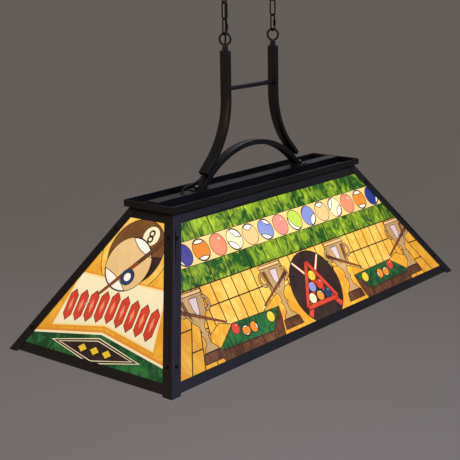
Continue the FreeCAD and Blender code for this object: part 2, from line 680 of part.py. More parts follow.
# ---- Lamp holders and bulbs --------------------------------------------------
def make_holders():
    holders, caps, globes = [], [], []
    for x in holder_x():
        top = V(x, 0, crown_base)
        body = turned([(0, -8.0), (5.0, -8.0), (5.0, 0.0), (holder_radius + 3, 0.0),
                       (holder_radius + 3, 3.5), (holder_radius, 6.0),
                       (holder_radius, holder_height), (0, holder_height)], top, DOWN)
        mouth = rod(holder_bore, top + DOWN * (holder_height - cap_height - 2),
                    top + DOWN * (holder_height + 1))
        holders.append(body.cut(mouth).cut(rod(3.0, top + UP * 10, top + DOWN * holder_height)))
        neck = top + DOWN * (holder_height + 1)
        caps.append(turned([(0, 0), (cap_radius, 0), (cap_radius, cap_height - 6), (8.0, cap_height - 2),
                            (4.5, cap_height), (0, cap_height)], neck, UP))
        middle = globe_length - globe_radius
        shoulder = middle - 14.0
        shoulder_radius = math.sqrt(globe_radius ** 2 - 14.0 ** 2)
        flare = turned([(0, 0), (globe_neck, 0), (globe_neck, 5.0), (shoulder_radius, shoulder),
                        (0, shoulder)], neck, DOWN)
        globes.append(join([flare, Part.makeSphere(globe_radius, neck + DOWN * middle)]))
    save("lamp_holders", group(holders))
    save("bulb_caps", group(caps))
    save("bulb_globes", group(globes))


make_canopy()
make_chains()
make_cord()
make_arms()
make_arch()
make_crown()
shade_sides = {name: shade_side(name) for name in ("front", "back", "left", "right")}
make_posts(shade_sides)
for side_name, side_data in shade_sides.items():
    make_side(side_name, side_data)
make_fasteners(shade_sides)
make_holders()
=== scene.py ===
"""Looks of a pool table lamp: a long tapered shade with art panels, on a two-arm hanger and chains.

Metres, +Z up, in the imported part's frame: the ceiling is at z = 0, X runs along the lamp, and
the shade's front faces -Y. Sizes of printed art and of small hardware are given in millimetres.
"""
import math

import bpy
from bpy.props import FloatProperty, FloatVectorProperty, IntProperty, PointerProperty
from mathutils import Matrix, Vector


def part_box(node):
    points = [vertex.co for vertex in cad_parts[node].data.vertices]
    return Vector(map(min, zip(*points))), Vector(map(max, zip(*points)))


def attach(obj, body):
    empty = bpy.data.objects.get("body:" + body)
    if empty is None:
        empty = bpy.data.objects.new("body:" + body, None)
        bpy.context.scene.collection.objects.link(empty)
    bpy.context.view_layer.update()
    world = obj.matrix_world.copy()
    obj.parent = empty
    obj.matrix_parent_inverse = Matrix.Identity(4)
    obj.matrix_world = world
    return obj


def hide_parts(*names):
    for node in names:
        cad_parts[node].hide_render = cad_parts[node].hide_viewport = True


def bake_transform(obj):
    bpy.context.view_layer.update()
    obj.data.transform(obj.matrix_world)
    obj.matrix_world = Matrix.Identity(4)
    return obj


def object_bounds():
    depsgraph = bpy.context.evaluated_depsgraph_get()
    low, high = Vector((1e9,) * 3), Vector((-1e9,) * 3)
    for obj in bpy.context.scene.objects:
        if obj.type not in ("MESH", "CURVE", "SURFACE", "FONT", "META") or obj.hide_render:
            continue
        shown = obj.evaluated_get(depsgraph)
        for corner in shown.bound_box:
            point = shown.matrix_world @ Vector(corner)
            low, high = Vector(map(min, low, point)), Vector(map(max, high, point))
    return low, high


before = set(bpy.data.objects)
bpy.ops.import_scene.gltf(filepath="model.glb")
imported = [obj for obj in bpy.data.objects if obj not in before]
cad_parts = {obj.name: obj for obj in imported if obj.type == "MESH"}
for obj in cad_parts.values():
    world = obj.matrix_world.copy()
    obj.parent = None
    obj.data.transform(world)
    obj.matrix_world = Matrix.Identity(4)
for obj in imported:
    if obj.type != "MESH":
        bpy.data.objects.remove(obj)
cad_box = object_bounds()

bl_info = {
    "name": "Pool table lamp",
    "version": (1, 0, 0),
    "blender": (4, 5, 0),
    "location": "3D View > Sidebar > Lamp",
    "description": "Finishes, art panels, cord, hardware and stage of a pool table lamp",
    "category": "Object",
}

MM = 0.001
UP = Vector((0, 0, 1))
LEVELS = {"front": Vector((0, -1, 0)), "back": Vector((0, 1, 0)),      # level way out of each side
          "left": Vector((-1, 0, 0)), "right": Vector((1, 0, 0))}
PANEL_TOP_BELOW_CROWN = 17.0        # mm down the slant, from the crown to the panel's top edge
INK_STEP = 0.015                    # mm, height of one layer of print
INK_BY_DAY = 0.22                   # share of an ink's colour that shows without the bulbs
GLOW_IN_MIDDLE, GLOW_FALL = 1.16, -1.3      # panel light at x = 0, and its change with x squared
SCREW_HEAD = 2.2                    # mm, height of a pan head
ROD_BEAD, FOOT_BEAD = 0.0012, 0.0013        # m, radii of the weld beads
FLOOR_SIZE = 600.0                  # m, so that its edge stays out of sight
FROM, TO, TINT = 6, 7, 2            # a Mix node's two colours, and its colour output
FIRST, SECOND = 2, 3                # a Mix node's two numbers


# ---- Settings ------------------------------------------------------------------
class LampFinish(bpy.types.PropertyGroup):
    """Colours and gloss of the lamp's finishes."""
    powder_black: FloatVectorProperty(
        name="Powder coat", description="Black of the powder coated frame", subtype="COLOR_GAMMA",
        size=3, min=0, max=1, default=(0.039, 0.039, 0.051))
    powder_roughness: FloatProperty(
        name="Powder coat roughness", description="Higher is more matt", subtype="FACTOR",
        default=0.40, min=0, max=1)
    panel_light: FloatProperty(
        name="Panel light", description="How strongly the lit panels shine", default=1.02, min=0)
    bulb_light: FloatProperty(
        name="Bulb light", description="How strongly the bulbs shine", default=5.0, min=0)


class LampArt(bpy.types.PropertyGroup):
    """Main sizes of the printed art."""
    tile: FloatProperty(
        name="Tile", description="Width of a green glass tile, in mm", default=62.0, min=20)
    plank: FloatProperty(
        name="Plank", description="Width of an amber plank, in mm", default=34.3, min=15)
    ball: FloatProperty(
        name="Ball", description="Radius of a ball in the row, in mm", default=26.2, min=5)
    ball_pitch: FloatProperty(
        name="Ball pitch", description="Between balls in the row, in mm", default=56.3, min=10)
    lead: FloatProperty(
        name="Lead line", description="Half the width of a line between tiles, in mm", default=1.4, min=0)
    fine: FloatProperty(
        name="Fine line", description="Width of the outline of a figure, in mm", default=1.7, min=0)
    round_points: IntProperty(
        name="Round points", description="Points of a printed circle", default=40, min=8)


class LampStage(bpy.types.PropertyGroup):
    """Floor, camera and lights."""
    floor_drop: FloatProperty(
        name="Floor drop", description="Floor below the shade's foot", default=1.9, unit="LENGTH")
    camera_place: FloatVectorProperty(
        name="Camera place", description="Where the camera stands", subtype="TRANSLATION",
        unit="LENGTH", default=(-1.9985, -1.5833, -0.0814))
    heading: FloatProperty(
        name="Heading", description="Direction the camera looks in, from +X towards +Y",
        default=math.radians(39.58), unit="ROTATION")
    look_down: FloatProperty(
        name="Look down", description="Angle below the horizon", default=math.radians(13.79),
        unit="ROTATION")
    roll: FloatProperty(
        name="Roll", description="Camera roll", default=math.radians(-1.01), unit="ROTATION")
    lens: FloatProperty(
        name="Lens", description="Focal length in mm", default=85.07, min=1, unit="CAMERA")


# ---- Small helpers -------------------------------------------------------------
def linear(code):
    """Linear RGBA of an sRGB hex code or of three sRGB numbers."""
    if isinstance(code, str):
        code = [int(code[i:i + 2], 16) / 255 for i in (1, 3, 5)]
    return tuple(c / 12.92 if c <= 0.04045 else ((c + 0.055) / 1.055) ** 2.4 for c in code) + (1.0,)


def node(tree, kind, sockets=None, **settings):
    """A shader node with its settings, and its sockets set to values or linked to outputs."""
    made = tree.nodes.new("ShaderNode" + kind)
    for key, value in settings.items():
        setattr(made, key, value)
    for socket, value in (sockets or {}).items():
        if isinstance(value, bpy.types.NodeSocket):
            tree.links.new(value, made.inputs[socket])
        else:
            made.inputs[socket].default_value = value
    return made


def new_material(name):
    """A material with an empty tree but for its output; returns both."""
    material = bpy.data.materials.new(name)
    material.use_nodes = True
    material.node_tree.nodes.clear()
    return material, material.node_tree


def close(tree, shader):
    """Links the finished shader to the material's output."""
    node(tree, "OutputMaterial", {"Surface": shader.outputs[0]})


def deselect():
    """Leaves edit mode and clears the selection."""
    if bpy.context.object and bpy.context.object.mode != "OBJECT":
        bpy.ops.object.mode_set(mode="OBJECT")
    bpy.ops.object.select_all(action="DESELECT")


def pick(obj):
    """Makes obj the only selected object and the active one."""
    deselect()
    obj.select_set(True)
    bpy.context.view_layer.objects.active = obj
    return obj


def apply_modifiers(obj):
    """Applies all modifiers of obj, in order."""
    pick(obj)
    for modifier in list(obj.modifiers):
        bpy.ops.object.modifier_apply(modifier=modifier.name)


def joined(objects, name):
    """One piece of several, in their order."""
    pick(objects[0])
    for obj in objects[1:]:
        obj.select_set(True)
    bpy.ops.object.join()
    made = bpy.context.object
    made.name = name
    made.data.name = name
    return made


def smooth(obj, angle):
    """Smooth shading over edges blunter than angle, in degrees."""
    pick(obj)
    bpy.ops.object.shade_smooth_by_angle(angle=math.radians(angle))


def new_piece(name, points, edges=(), faces=()):
    """A linked mesh object made from its points."""
    mesh = bpy.data.meshes.new(name)
    mesh.from_pydata(points, edges, faces)
    piece = bpy.data.objects.new(name, mesh)
    bpy.context.scene.collection.objects.link(piece)
    return piece


def turned(name, profile, steps=32):
    """A piece turned about +Z from (radius, height) pairs in mm."""
    points = [(r * MM, 0, h * MM) for r, h in profile]
    piece = pick(new_piece(name, points, [(i, i + 1) for i in range(len(points) - 1)]))
    bpy.ops.object.mode_set(mode="EDIT")
    bpy.ops.mesh.select_all(action="SELECT")
    bpy.ops.mesh.spin(steps=steps, angle=2 * math.pi, center=(0, 0, 0), axis=(0, 0, 1))
    bpy.ops.mesh.select_all(action="SELECT")
    bpy.ops.mesh.remove_doubles(threshold=1e-6)
    bpy.ops.mesh.normals_make_consistent(inside=False)
    bpy.ops.object.mode_set(mode="OBJECT")
    return piece


def thread(radius, depth, pitch, first, last):
    """Zigzag (radius, height) pairs of a thread's flanks, in mm."""
    turns = int((last - first) / pitch)
    pairs = []
    for i in range(turns):
        foot = first + (last - first) * i / turns
        pairs += [(radius - depth, foot), (radius, foot + 0.5 * (last - first) / turns)]
    return pairs + [(radius - depth, last)]


def copies(master, name, places):
    """One piece of copies of master at (seat, outward, turn in degrees) places.

    The master, modelled at the origin along +Z, is removed.
    """
    made = []
    for seat, outward, turn in places:
        one = bpy.data.objects.new(name, master.data.copy())
        bpy.context.scene.collection.objects.link(one)
        aim = UP.rotation_difference(outward).to_matrix().to_4x4()
        spin = Matrix.Rotation(math.radians(turn), 4, "Z")
        one.data.transform(Matrix.Translation(seat) @ aim @ spin)
        made.append(one)
    bpy.data.objects.remove(master)
    return joined(made, name)


def cut_box(piece, size, centre):
    """Cuts a box out of a piece; size and centre are in mm."""
    deselect()
    bpy.ops.mesh.primitive_cube_add(size=1, location=[c * MM for c in centre])
    tool = bpy.context.object
    tool.scale = [v * MM for v in size]
    bpy.ops.object.transform_apply(location=True, rotation=True, scale=True)
    cut = piece.modifiers.new("cut", "BOOLEAN")
    cut.operation, cut.solver, cut.object = "DIFFERENCE", "EXACT", tool
    apply_modifiers(piece)
    bpy.data.objects.remove(tool)


def islands(name):
    """Points of each separate solid of a CAD node."""
    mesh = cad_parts[name].data
    spots, parent = {}, []

    def root(i):
        while parent[i] != i:
            i = parent[i]
        return i

    index = []
    for v in mesh.vertices:
        key = tuple(round(c * 1e6) for c in v.co)
        if key not in spots:
            spots[key] = len(parent)
            parent.append(len(parent))
        index.append(spots[key])
    for edge in mesh.edges:
        a, b = root(index[edge.vertices[0]]), root(index[edge.vertices[1]])
        parent[a] = b
    found = {}
    for v in mesh.vertices:
        found.setdefault(root(index[v.index]), []).append(v.co)
    return list(found.values())


def middle_of(points):
    """Mean of some points."""
    return sum(points, Vector()) / len(points)


def route_curve(name, points, fineness, closed):
    """A NURBS curve object through its control points in metres."""
    curve = bpy.data.curves.new(name, "CURVE")
    curve.dimensions, curve.resolution_u = "3D", fineness
    spline = curve.splines.new("NURBS")
    spline.points.add(len(points) - 1)
    for point, place in zip(spline.points, points):
        point.co = (*place, 1.0)
    spline.order_u = 3
    spline.use_endpoint_u = not closed
    spline.use_cyclic_u = closed
    route = bpy.data.objects.new(name, curve)
    bpy.context.scene.collection.objects.link(route)
    return route


def tube_along(name, points, radius, closed=False, fineness=10):
    """A mesh tube along a NURBS route, and the points that it follows."""
    route = route_curve(name, points, fineness, closed)
    bare = bpy.data.meshes.new_from_object(route)
    path = [v.co.copy() for v in bare.vertices]
    bpy.data.meshes.remove(bare)
    route.data.bevel_depth, route.data.bevel_resolution = radius, 5
    route.data.use_fill_caps = not closed
    pick(route)
    bpy.ops.object.convert(target="MESH")
    tube = bpy.context.object
    smooth(tube, 50)
    return tube, path


def weld_bead(name, points, radius, closed=False):
    """A rippled bead of weld metal along a route."""
    bead, _ = tube_along(name, points, radius, closed, 6)
    ripple = bpy.data.textures.new("ripple", "CLOUDS")
    ripple.noise_scale, ripple.noise_depth = 0.0022, 1
    shift = bead.modifiers.new("ripple", "DISPLACE")
    shift.texture, shift.strength, shift.mid_level = ripple, 0.0008, 0.6
    apply_modifiers(bead)
    return bead


def soften(name, width):
    """Rounds a CAD node's sharp edges by width in mm; the node's own mesh stays as it is."""
    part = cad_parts[name]
    weld = part.modifiers.new("weld", "WELD")
    weld.merge_threshold = 1e-6
    bevel = part.modifiers.new("bevel", "BEVEL")
    bevel.width, bevel.segments = width * MM, 2
    bevel.limit_method, bevel.angle_limit = "ANGLE", math.radians(35)


def finish_node(name, material):
    """Gives a CAD node its finish."""
    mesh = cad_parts[name].data
    mesh.materials.clear()
    mesh.materials.append(material)


# ---- Metal, plastic and glass finishes -----------------------------------------
def powder_coat(finish):
    """Steel with a baked black polyester powder: satin, with a fine orange peel."""
    material, tree = new_material("satin_black_powder_coat")
    place = node(tree, "TexCoord").outputs["Object"]
    # orange peel about 1.5 mm from crest to crest
    peel = node(tree, "TexNoise", {"Vector": place, "Scale": 650.0, "Detail": 2.0, "Roughness": 0.5})
    # handling marks and dust, a hand's width apart
    marks = node(tree, "TexNoise", {"Vector": place, "Scale": 9.0, "Detail": 5.0, "Roughness": 0.62})
    dust = node(tree, "MapRange", {"Value": marks.outputs["Fac"], "From Min": 0.42, "From Max": 0.72,
                                   "To Min": 0.0, "To Max": 1.0})
    black = linear(finish.powder_black)
    worn = tuple(min(1.0, c * 1.7) for c in black[:3]) + (1.0,)
    tone = node(tree, "Mix", {"Factor": dust.outputs[0], FROM: black, TO: worn}, data_type="RGBA")
    gloss = node(tree, "MapRange", {"Value": marks.outputs["Fac"], "From Min": 0.3, "From Max": 0.7,
                                    "To Min": finish.powder_roughness - 0.06,
                                    "To Max": finish.powder_roughness + 0.08})
    bump = node(tree, "Bump", {"Height": peel.outputs["Fac"], "Strength": 0.22, "Distance": 0.0003})
    close(tree, node(tree, "BsdfPrincipled", {
        "Base Color": tone.outputs[TINT], "Roughness": gloss.outputs[0], "Normal": bump.outputs[0],
        "Specular IOR Level": 0.42, "Coat Weight": 0.05, "Coat Roughness": 0.3}))
    return material


def bare_metal(name, dark, light, roughness, grain):
    """A metal with fine mottling; grain is the size of its spots in mm."""
    material, tree = new_material(name)
    place = node(tree, "TexCoord").outputs["Object"]
    spots = node(tree, "TexNoise", {"Vector": place, "Scale": 1 / (grain * MM), "Detail": 4.0})
    tone = node(tree, "Mix", {"Factor": spots.outputs["Fac"], FROM: linear(dark), TO: linear(light)},
                data_type="RGBA")
    gloss = node(tree, "MapRange", {"Value": spots.outputs["Fac"], "To Min": roughness - 0.08,
                                    "To Max": roughness + 0.1})
    bump = node(tree, "Bump", {"Height": spots.outputs["Fac"], "Strength": 0.12, "Distance": 0.0001})
    close(tree, node(tree, "BsdfPrincipled", {
        "Base Color": tone.outputs[TINT], "Metallic": 1.0, "Roughness": gloss.outputs[0],
        "Normal": bump.outputs[0]}))
    return material


def moulded(name, dark, light, roughness, grain, depth=0.0002):
    """A moulded plastic with a spark-eroded grain of the given size in mm."""
    material, tree = new_material(name)
    place = node(tree, "TexCoord").outputs["Object"]
    texture = node(tree, "TexNoise", {"Vector": place, "Scale": 1 / (grain * MM), "Detail": 3.0})
    drift = node(tree, "TexNoise", {"Vector": place, "Scale": 25.0, "Detail": 2.0})
    tone = node(tree, "Mix", {"Factor": drift.outputs["Fac"], FROM: linear(dark), TO: linear(light)},
                data_type="RGBA")
    gloss = node(tree, "MapRange", {"Value": drift.outputs["Fac"], "To Min": roughness - 0.06,
                                    "To Max": roughness + 0.08})
    bump = node(tree, "Bump", {"Height": texture.outputs["Fac"], "Strength": 0.2, "Distance": depth})
    close(tree, node(tree, "BsdfPrincipled", {
        "Base Color": tone.outputs[TINT], "Roughness": gloss.outputs[0], "Normal": bump.outputs[0]}))
    return material


def frosted_glass(finish):
    """Acid-frosted soda glass lit from inside: white, in cloudy patches of two warm whites."""
    material, tree = new_material("frosted_bulb_glass")
    place = node(tree, "TexCoord").outputs["Object"]
    cloud = node(tree, "TexNoise", {"Vector": place, "Scale": 60.0, "Detail": 3.0})
    tone = node(tree, "Mix", {"Factor": cloud.outputs["Fac"], FROM: linear("#fff0cf"),
                              TO: linear("#fff8e6")}, data_type="RGBA")
    close(tree, node(tree, "BsdfPrincipled", {
        "Base Color": tone.outputs[TINT], "Roughness": 0.35, "Emission Color": tone.outputs[TINT],
        "Emission Strength": finish.bulb_light}))
    return material


# ---- Printed inks --------------------------------------------------------------
# Translucent screen inks on acrylic, lit from behind: (deep colour, light colour, streak).
# A streaked ink imitates rolled art glass, with streaks that run down the tile.
INKS = {
    "lead_line": ("#1c1006", "#33200c", 0.1), "fine_line": ("#2c1808", "#452810", 0.1),
    "green_glass": ("#16500d", "#b2d02c", 1.0), "felt": ("#083a1e", "#34803c", 0.9),
    "warm_ground": ("#f6cc70", "#fde4a4", 0.3), "amber_plank": ("#eeaa2c", "#ffe078", 0.7),
    "deep_amber": ("#e0901a", "#fcc844", 0.7), "orange_line": ("#e0821e", "#ee9a34", 0.1),
    "cream": ("#f6e2ac", "#fdf0cc", 0.2), "white": ("#fbeed4", "#fffaf0", 0.1),
    "violet": ("#34307c", "#6058ac", 0.4), "blue": ("#16226c", "#3448a0", 0.4),
    "lavender": ("#7080c0", "#a0ace0", 0.3), "rose": ("#ee8070", "#fca890", 0.3),
    "salmon": ("#f07c58", "#fca67e", 0.3), "peach": ("#f6bc70", "#fdd8a0", 0.3),
    "lime": ("#a8cc24", "#dcec70", 0.3), "orange": ("#e4760e", "#f8a23c", 0.3),
    "red": ("#c42c1a", "#ea5438", 0.4), "yellow": ("#eab80c", "#f8d848", 0.3),
    "ebony": ("#1a0e0a", "#443028", 0.6), "walnut": ("#44220e", "#805030", 0.8),
    "brown": ("#5e3818", "#8c5c2c", 0.5), "tan": ("#b08450", "#dcb67c", 0.5),
    "fawn": ("#e0b070", "#f4d49c", 0.4), "lilac": ("#cdb6b4", "#ecdcd8", 0.3),
    "cue_maple": ("#84300f", "#b4582a", 0.4), "navy": ("#14284c", "#28507c", 0.2)}


def ink(name, finish):
    """One of INKS on acrylic: streaked, glossy, and shining with the light behind it."""
    deep, light, streak = INKS[name]
    material, tree = new_material("screen_ink_" + name)
    place = node(tree, "TexCoord").outputs["Object"]
    # streaks are about 20 mm wide and three times as long, and bent by the distortion
    drawn_out = node(tree, "Mapping", {"Vector": place, "Scale": (1.0, 1.0, 0.3)})
    flow = node(tree, "TexNoise", {"Vector": drawn_out.outputs[0], "Scale": 46.0, "Detail": 4.0,
                                   "Distortion": 1.9})
    tile = node(tree, "TexNoise", {"Vector": place, "Scale": 17.0, "Detail": 1.0})
    even = 0.5 - 0.5 * streak
    mixed = node(tree, "Mix", {"Factor": 0.4, FIRST: flow.outputs["Fac"], SECOND: tile.outputs["Fac"]})
    share = node(tree, "MapRange", {"Value": mixed.outputs[0], "From Min": 0.43, "From Max": 0.68,
                                    "To Min": even, "To Max": 1.0 - even})
    tone = node(tree, "Mix", {"Factor": share.outputs[0], FROM: linear(deep), TO: linear(light)},
                data_type="RGBA")
    # the bulbs stand along the middle, so the panels are brightest there
    axes = node(tree, "SeparateXYZ", {0: place})
    squared = node(tree, "Math", {0: axes.outputs["X"], 1: axes.outputs["X"]}, operation="MULTIPLY")
    glow = node(tree, "Math", {0: squared.outputs[0], 1: GLOW_FALL, 2: GLOW_IN_MIDDLE},
                operation="MULTIPLY_ADD")
    lit = node(tree, "VectorMath", {0: tone.outputs[TINT], "Scale": glow.outputs[0]}, operation="SCALE")
    base = node(tree, "VectorMath", {0: tone.outputs[TINT], "Scale": INK_BY_DAY}, operation="SCALE")
    ripple = node(tree, "Bump", {"Height": flow.outputs["Fac"], "Strength": 0.15, "Distance": 0.0004})
    close(tree, node(tree, "BsdfPrincipled", {
        "Base Color": base.outputs[0], "Roughness": 0.3, "IOR": 1.49, "Normal": ripple.outputs[0],
        "Emission Color": lit.outputs[0], "Emission Strength": finish.panel_light}))
    return material


def acrylic_back(name, bands, finish):
    """Back of a printed acrylic panel: bands is (z, colour) pairs from the foot upward."""
    material, tree = new_material(name)
    place = node(tree, "TexCoord").outputs["Object"]
    axes = node(tree, "SeparateXYZ", {0: place})
    low, high = cad_box[0].z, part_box("crown_rim")[0].z
    height = node(tree, "MapRange", {"Value": axes.outputs["Z"], "From Min": low, "From Max": high})
    ramp = node(tree, "ValToRGB", {"Fac": height.outputs[0]})
    ramp.color_ramp.interpolation = "CONSTANT"
    stops = ramp.color_ramp.elements
    while len(stops) < len(bands):
        stops.new(0.5)
    for stop, (share, colour) in zip(stops, bands):
        stop.position, stop.color = share, linear(colour)
    cloud = node(tree, "TexNoise", {"Vector": place, "Scale": 30.0, "Detail": 3.0})
    tone = node(tree, "Mix", {"Factor": cloud.outputs["Fac"], FROM: ramp.outputs[0], TO: linear("#f7d890")},
                data_type="RGBA")
    # the emission is painted light: the bulbs' glow through the sheet, in the band colours
    close(tree, node(tree, "BsdfPrincipled", {
        "Base Color": tone.outputs[TINT], "Roughness": 0.22, "IOR": 1.49,
        "Emission Color": tone.outputs[TINT], "Emission Strength": finish.panel_light * 0.8}))
    return material


# ---- Shade sides and flat shapes on them ---------------------------------------
def shade_side(name):
    """Origin at the crown, along, down and out of a side, and its panel's corners in mm."""
    level = LEVELS[name]
    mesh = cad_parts["panel_" + name].data
    faces = [p for p in mesh.polygons if p.normal.dot(level) > 0.3 and p.normal.z > 0.2]
    face = max(faces, key=lambda p: p.area)
    out = face.normal.copy()
    along = UP.cross(level)
    down = along.cross(out)
    height = mesh.vertices[face.vertices[0]].co.dot(out)
    points = [v.co for v in mesh.vertices if abs(v.co.dot(out) - height) < 1e-5]
    top = max(points, key=lambda p: p.z)
    origin = top - along * top.dot(along) - down * PANEL_TOP_BELOW_CROWN * MM
    flat = [((p - origin).dot(along) / MM, (p - origin).dot(down) / MM) for p in points]
    first, last = min(d for _, d in flat), max(d for _, d in flat)
    upper = max(abs(a) for a, d in flat if d - first < 1)
    lower = max(abs(a) for a, d in flat if last - d < 1)
    corners = [(-upper, first), (upper, first), (lower, last), (-lower, last)]
    wall = height - min(v.co.dot(out) for v in mesh.vertices)
    return {"origin": origin, "along": along, "down": down, "out": out, "corners": corners, "wall": wall}


def plane_matrix(side, inside=False):
    """From flat (along, -down, height), in metres, to the side's outer or inner face."""
    columns = (side["along"], -side["down"], -side["out"] if inside else side["out"])
    start = side["origin"] - side["out"] * (side["wall"] if inside else 0)
    return Matrix([[c[i] for c in columns] + [start[i]] for i in range(3)] + [[0, 0, 0, 1]])


def circle(centre, radius, count):
    """Points of a circle in (along, down) mm."""
    return [(centre[0] + radius * math.cos(2 * math.pi * i / count),
             centre[1] + radius * math.sin(2 * math.pi * i / count)) for i in range(count)]


def ball_cap(centre, radius, way, width, depth):
    """Cap of a striped ball: its rim is the ball's edge, its inner edge a flatter curve.

    way is the cap's direction in degrees, 90 being down; width is half its angle.
    """
    ways = [math.radians(way + width * (i / 6 - 1)) for i in range(13)]
    rim = [(centre[0] + radius * math.cos(t), centre[1] + radius * math.sin(t)) for t in ways]
    (x0, y0), (x1, y1) = rim[0], rim[-1]
    toward = math.radians(way)
    inner = []
    for i in range(1, 8):
        share = i / 8
        bow = depth * math.sin(math.pi * share)
        inner.append((x1 + (x0 - x1) * share - bow * math.cos(toward),
                      y1 + (y0 - y1) * share - bow * math.sin(toward)))
    return rim + inner


def stick(butt, tip, wide, narrow):
    """Tapered bar from butt to tip; wide and narrow are half widths."""
    way = Vector((tip[0] - butt[0], tip[1] - butt[1])).normalized()
    across = Vector((-way.y, way.x))
    start, end = Vector(butt), Vector(tip)
    return [tuple(start + across * wide), tuple(end + across * narrow),
            tuple(end - across * narrow), tuple(start - across * wide)]


def along_stick(butt, tip, share):
    """Point at a share of the way from butt to tip."""
    return (butt[0] + (tip[0] - butt[0]) * share, butt[1] + (tip[1] - butt[1]) * share)


def lay_cue(shapes, butt, tip, layer, size=1.0):
    """A cue: red-brown shaft, dark butt and pale ferrule."""
    shapes.append(("cue_maple", stick(butt, tip, 4.6 * size, 2.2 * size), layer, "fine"))
    grip_end, ferrule = along_stick(butt, tip, 0.34), along_stick(butt, tip, 0.94)
    shapes.append(("walnut", stick(butt, grip_end, 3.6 * size, 3.0 * size), layer + 1, ""))
    shapes.append(("cream", stick(ferrule, tip, 1.6 * size, 1.4 * size), layer + 1, ""))


def lay_ball(shapes, art, centre, radius, colour, caps, layer):
    """A ball with its caps; a plain one has a highlight."""
    shapes.append((colour, circle(centre, radius, art.round_points), layer, "fine"))
    for way, width, depth in caps:
        cap = ball_cap(centre, radius - art.fine, way, width, depth * radius)
        shapes.append(("white", cap, layer + 1, "fine"))
    if not caps:
        spot = (centre[0] + radius * 0.34, centre[1] - radius * 0.46)
        shapes.append(("white", circle(spot, radius * 0.09, 12), layer + 1, ""))


def mirrored(points):
    """The same outline on the other half of the side."""
    return [(-a, d) for a, d in points]


def upright(left, right, first, last):
    """Rectangle between two places along the side and two down it."""
    return [(left, first), (right, first), (right, last), (left, last)]


def lozenge(centre, half_width, half_height):
    """Rhombus with its corners up, down and to the sides."""
    a, d = centre
    return [(a - half_width, d), (a, d - half_height), (a + half_width, d), (a, d + half_height)]


def printed_sheet(side, shapes, line, kind, inks):
    """One mesh of a side's flat shapes that have this kind of line.

    Each is trimmed to the panel, outlined by an inset of line mm, and one ink layer thick.
    """
    chosen = [s for s in shapes if s[3] == kind]
    points, faces, slots = [], [], []
    names = sorted({s[0] for s in chosen})
    for colour, outline, layer, _ in chosen:
        area = sum(outline[i - 1][0] * outline[i][1] - outline[i][0] * outline[i - 1][1]
                   for i in range(len(outline)))
        ordered = outline if area < 0 else outline[::-1]
        faces.append(list(range(len(points), len(points) + len(ordered))))
        points += [(a * MM, -d * MM, layer * INK_STEP * MM) for a, d in ordered]
        slots.append(names.index(colour))
    sheet = new_piece("print", points, faces=faces)
    mesh = sheet.data
    for name in names:
        mesh.materials.append(inks(name))
    for polygon, slot in zip(mesh.polygons, slots):
        polygon.material_index = slot
    pick(sheet)
    bpy.ops.object.mode_set(mode="EDIT")
    corners = side["corners"]
    for (a0, d0), (a1, d1) in zip(corners, corners[1:] + corners[:1]):
        edge = Vector((a1 - a0, -(d1 - d0), 0)).normalized()
        bpy.ops.mesh.select_all(action="SELECT")
        bpy.ops.mesh.bisect(plane_co=(a0 * MM, -d0 * MM, 0), plane_no=(-edge.y, edge.x, 0),
                            use_fill=False, clear_outer=True, clear_inner=False)
    if line:
        bpy.ops.mesh.select_all(action="SELECT")
        bpy.ops.mesh.inset(thickness=line * MM, use_individual=True, use_boundary=True)
    bpy.ops.object.mode_set(mode="OBJECT")
    if line:
        mesh.materials.append(inks(kind + "_line"))
        for polygon in mesh.polygons:
            if not polygon.select:
                polygon.material_index = len(names)
    thick = sheet.modifiers.new("thick", "SOLIDIFY")
    thick.thickness, thick.offset = INK_STEP * MM, 1.0
    apply_modifiers(sheet)
    return sheet


def long_art(art):
    """Shapes of a long side: (ink, outline in mm, layer, kind of line)."""
    shapes = []
    # the upper green band, the balls' band and the lower green band lie between these
    top, balls, lower, wall = 15.0, 65.5, 118.8, 165.0
    # hand-cut tiles, up to 4 mm out of step
    edges = [art.tile * k + 4 * math.sin(2.1 * k + 1) for k in range(-7, 8)]
    for first, last in ((top, balls), (lower, wall)):
        for left, right in zip(edges, edges[1:]):
            shapes.append(("green_glass", upright(left, right, first, last), 0, "lead"))
    shapes.append(("warm_ground", upright(-440, 440, balls, lower), 0, ""))
    shapes += plank_wall(art, wall)
    shapes += ball_row(art)
    for side in (1, -1):
        shapes += table_scene(art, side)
    shapes += centre_disc(art)
    return shapes


def plank_wall(art, top):
    """Upright amber planks with one seam, plain floor, and slanting boards at each end."""
    shapes = []
    seam, foot, reach = 212.0, 340.0, 10
    start = 190.0 - 5 * art.plank
    edges = [-start - art.plank * k for k in range(reach, -1, -1)]
    edges += [start + art.plank * k for k in range(reach + 1)]
    for left, right in zip(edges, edges[1:]):
        for first, last in ((top, seam), (seam, foot)):
            shapes.append(("amber_plank", upright(left, right, first, last), 0, "lead"))
    # upper and lower ends of the joints between boards that fan out towards the slanted edge
    end = edges[-1]
    fan = [((end, top), (end, foot)), ((end + 4, top), (405.0, foot)), ((end + 12, top), (446.0, foot)),
           ((end + 26, top), (488.0, foot)), ((end + 60, top), (560.0, foot))]
    seams = (0.62, 0.5, 0.7, 0.44)
    for (near, far), cut in zip(zip(fan, fan[1:]), seams):
        left_cut = along_stick(near[0], near[1], cut)
        right_cut = along_stick(far[0], far[1], cut)
        for board in ([near[0], far[0], right_cut, left_cut], [left_cut, right_cut, far[1], near[1]]):
            shapes.append(("deep_amber", board, 0, "lead"))
            shapes.append(("deep_amber", mirrored(board), 0, "lead"))
    # the floor in front of the wall, between the roundel and each table and past the table
    for way in (1, -1):
        for floor in ([(30, foot), (66, 268), (90, 226), (148, 238), (205, 262), (212, foot)],
                      [(312, foot), (318, 262), (352, 250), (392, 268), (405, foot)]):
            shapes.append(("deep_amber", [(way * a, d) for a, d in floor], 1, "fine"))
    return shapes


